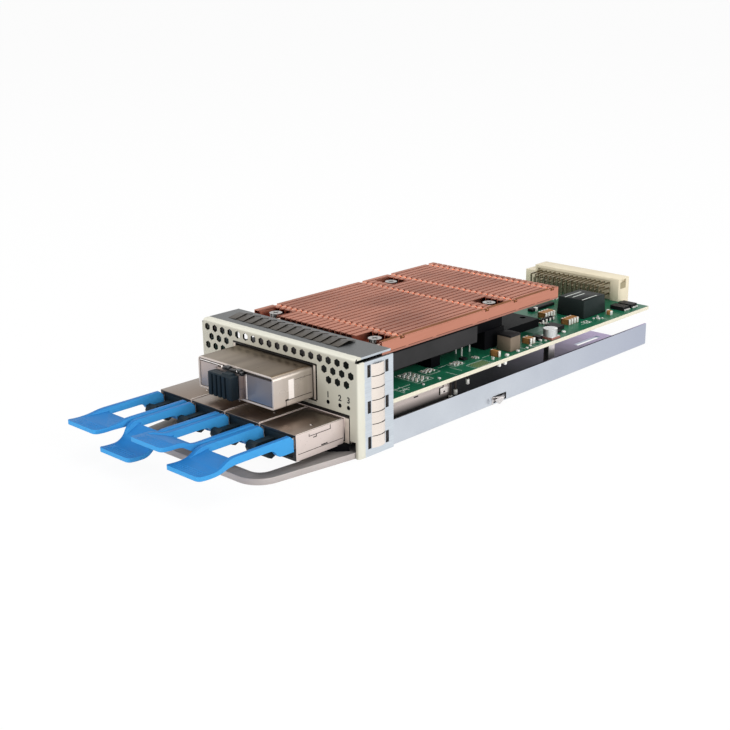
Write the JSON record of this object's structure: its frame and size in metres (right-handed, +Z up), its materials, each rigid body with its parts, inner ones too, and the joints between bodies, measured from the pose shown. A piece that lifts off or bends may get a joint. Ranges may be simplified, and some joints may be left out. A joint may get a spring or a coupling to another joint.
{
  "type": "multiplexing transponder card",
  "caption": "Plug-in optical transponder card: open tray and perforated panel, a large line module over a row of pull-tab modules, copper fin cooler, loop handle and backplane plug.",
  "frame": {"origin": "foot of the front panel's outer face, on the panel's middle, level with the tray's underside", "axes": "+X to the right of someone facing the panel, +Y into the shelf, +Z up"},
  "size_m": [0.0872, 0.2642, 0.0386],
  "materials": {
    "painted_panel": "satin cream paint on the face, bare zinc flanges",
    "zinc_tray": "zinc plated sheet",
    "spring_metal": "nickel plated spring sheet",
    "handle_grey": "satin warm grey",
    "screw_steel": "plated steel",
    "board_green": "green solder mask with pale edges",
    "module_nickel": "satin nickel",
    "cage_sheet": "thin plated sheet",
    "dark_rail": "dark grey satin",
    "foot_black": "matte black",
    "copper": "satin copper",
    "tab_blue": "satin blue",
    "plug_black": "soft black",
    "connector_black": "matte black",
    "connector_beige": "matte beige",
    "pin_gold": "plated",
    "power_dark": "dark ceramic with a clear window",
    "ferrite": "dark ferrite",
    "can_silver": "satin can",
    "chip_black": "matte black",
    "ceramic_tan": "tan ceramic with tinned ends",
    "light_clear": "clear"
  },
  "bodies": {
    "card": {"front_panel": "painted_panel", "tray": "zinc_tray", "standoffs": "zinc_tray", "top_gasket": "spring_metal", "side_gasket": "spring_metal", "line_cage_gasket": "spring_metal", "client_cage_gasket": "spring_metal", "side_latches": "spring_metal", "cooler_springs": "spring_metal", "handle": "handle_grey", "handle_screws": "screw_steel", "board_screws": "screw_steel", "cooler_screws": "screw_steel", "main_board": "board_green", "line_cage": "cage_sheet", "client_cage": "cage_sheet", "cooler_rails": "dark_rail", "rail_feet": "foot_black", "cooler_base": "copper", "fin_stack": "copper", "line_connector": "connector_black", "client_connectors": "connector_black", "connector_cover": "connector_black", "backplane_connector": "connector_beige", "connector_pins": "pin_gold", "power_block": "power_dark", "inductor": "ferrite", "filter_can": "can_silver", "logic_chips": "chip_black", "ceramic_capacitors": "ceramic_tan", "status_lights": "light_clear"},
    "line_module": {"line_module_shell": "module_nickel", "line_receptacle": "module_nickel", "line_face_plate": "module_nickel", "line_plug": "plug_black"},
    "client_module_1": {"client_module_1": "module_nickel", "client_plug_1": "plug_black"},
    "pull_tab_1": {"pull_tab_1": "tab_blue", "release_slider_1": "spring_metal"},
    "client_module_2": {"client_module_2": "module_nickel", "client_plug_2": "plug_black"},
    "pull_tab_2": {"pull_tab_2": "tab_blue", "release_slider_2": "spring_metal"},
    "client_module_3": {"client_module_3": "module_nickel", "client_plug_3": "plug_black"},
    "pull_tab_3": {"pull_tab_3": "tab_blue", "release_slider_3": "spring_metal"},
    "client_module_4": {"client_module_4": "module_nickel", "client_plug_4": "plug_black"},
    "pull_tab_4": {"pull_tab_4": "tab_blue", "release_slider_4": "spring_metal"}
  },
  "joints": [
    {"name": "line_module_slide", "type": "slide", "parent": "card", "child": "line_module", "axis": [0, -1, 0], "range_m": [0, 0.086]},
    {"name": "client_module_1_slide", "type": "slide", "parent": "card", "child": "client_module_1", "axis": [0, -1, 0], "range_m": [0, 0.048]},
    {"name": "pull_tab_1_slide", "type": "slide", "parent": "client_module_1", "child": "pull_tab_1", "axis": [0, -1, 0], "range_m": [0, 0.0025], "stiffness_N_per_m": 500},
    {"name": "client_module_2_slide", "type": "slide", "parent": "card", "child": "client_module_2", "axis": [0, -1, 0], "range_m": [0, 0.048]},
    {"name": "pull_tab_2_slide", "type": "slide", "parent": "client_module_2", "child": "pull_tab_2", "axis": [0, -1, 0], "range_m": [0, 0.0025], "stiffness_N_per_m": 500},
    {"name": "client_module_3_slide", "type": "slide", "parent": "card", "child": "client_module_3", "axis": [0, -1, 0], "range_m": [0, 0.048]},
    {"name": "pull_tab_3_slide", "type": "slide", "parent": "client_module_3", "child": "pull_tab_3", "axis": [0, -1, 0], "range_m": [0, 0.0025], "stiffness_N_per_m": 500},
    {"name": "client_module_4_slide", "type": "slide", "parent": "card", "child": "client_module_4", "axis": [0, -1, 0], "range_m": [0, 0.048]},
    {"name": "pull_tab_4_slide", "type": "slide", "parent": "client_module_4", "child": "pull_tab_4", "axis": [0, -1, 0], "range_m": [0, 0.0025], "stiffness_N_per_m": 500}
  ]
}
